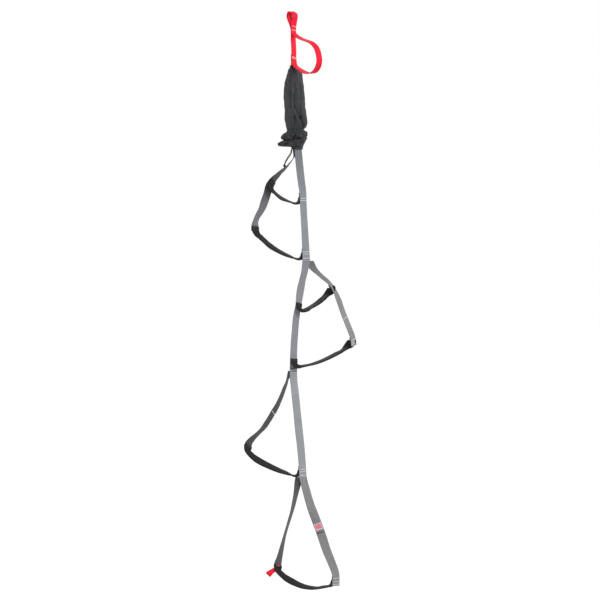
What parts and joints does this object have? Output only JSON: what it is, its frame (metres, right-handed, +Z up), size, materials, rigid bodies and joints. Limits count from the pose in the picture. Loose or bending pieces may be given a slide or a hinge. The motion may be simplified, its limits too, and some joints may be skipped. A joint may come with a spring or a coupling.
{
  "type": "etrier",
  "caption": "Climbing ladder of flat webbing: foot steps alternate to each side of a folded spine, below a red clip-in eye, a grab loop and a stuff sack.",
  "frame": {"origin": "inside the crown of the clip-in eye, where a carabiner bears", "axes": "+Z up along the hanging ladder, +Y to its back, +X to the right seen from the front"},
  "size_m": [0.3895, 0.1519, 1.6183],
  "materials": {
    "red_webbing": "woven, slight sheen",
    "pale_thread": "stitched",
    "grey_webbing": "woven",
    "warm_grey_webbing": "woven",
    "dark_grey_webbing": "woven",
    "black_webbing": "woven",
    "grey_thread": "stitched",
    "stiffener_plastic": "smooth",
    "sack_cloth": "matt, creased",
    "black_cord": "braided"
  },
  "bodies": {
    "clip_in": {"clip_in_eye": "red_webbing", "eye_bar_tack_1": "pale_thread"},
    "section_1": {"sling_strand": "red_webbing", "hand_loop": "red_webbing", "sling_bar_tack_1": "pale_thread", "sling_bar_tack_2": "pale_thread", "spine_1": "grey_webbing", "leg_1": "dark_grey_webbing", "tread_1": "black_webbing", "tread_2": "black_webbing", "stiffener_2": "stiffener_plastic", "step_tacks_1_1": "grey_thread", "step_tacks_1_2": "grey_thread", "step_tacks_1_3": "grey_thread", "step_tacks_1_4": "grey_thread", "bag_shell": "sack_cloth", "bag_bunch": "sack_cloth", "bag_cuff": "sack_cloth", "bag_tie": "black_cord", "drawcord_front": "black_cord", "drawcord_back": "black_cord", "drawcord_knot": "black_cord"},
    "section_2": {"spine_2": "grey_webbing", "leg_2": "warm_grey_webbing", "tread_3": "black_webbing", "tread_4": "black_webbing", "stiffener_4": "stiffener_plastic", "step_tacks_2_1": "grey_thread", "step_tacks_2_2": "grey_thread", "step_tacks_2_3": "grey_thread"},
    "section_3": {"spine_3": "grey_webbing", "leg_3": "dark_grey_webbing", "tread_5": "black_webbing", "stiffener_5": "stiffener_plastic", "step_tacks_3_1": "grey_thread", "step_tacks_3_2": "grey_thread", "step_tacks_3_3": "grey_thread"},
    "section_4": {"leg_4_right": "grey_webbing", "leg_4_left": "dark_grey_webbing", "tread_6": "black_webbing", "stiffener_6": "stiffener_plastic", "step_tacks_4_1": "grey_thread", "step_tacks_4_2": "grey_thread", "label": "red_webbing"},
    "pull_tab": {"pull_tab": "red_webbing"}
  },
  "joints": [
    {"name": "fold_1", "type": "hinge", "parent": "clip_in", "child": "section_1", "pos_m": [0, 0, -0.056], "axis": [1, 0, 0], "range_deg": [-8, 80]},
    {"name": "fold_2", "type": "hinge", "parent": "section_1", "child": "section_2", "pos_m": [0.044, 0, -0.6955], "axis": [-1, 0, 0], "range_deg": [-20, 120]},
    {"name": "fold_3", "type": "hinge", "parent": "section_2", "child": "section_3", "pos_m": [0, 0, -1.003], "axis": [1, 0, 0], "range_deg": [-20, 110]},
    {"name": "fold_4", "type": "hinge", "parent": "section_3", "child": "section_4", "pos_m": [0.0327, 0, -1.303], "axis": [-1, 0, 0], "range_deg": [-20, 120]},
    {"name": "pull_tab_swing", "type": "hinge", "parent": "section_4", "child": "pull_tab", "pos_m": [-0.06369, 0, -1.56058], "axis": [-0.5299, 0, 0.848], "range_deg": [-75, 15]}
  ]
}
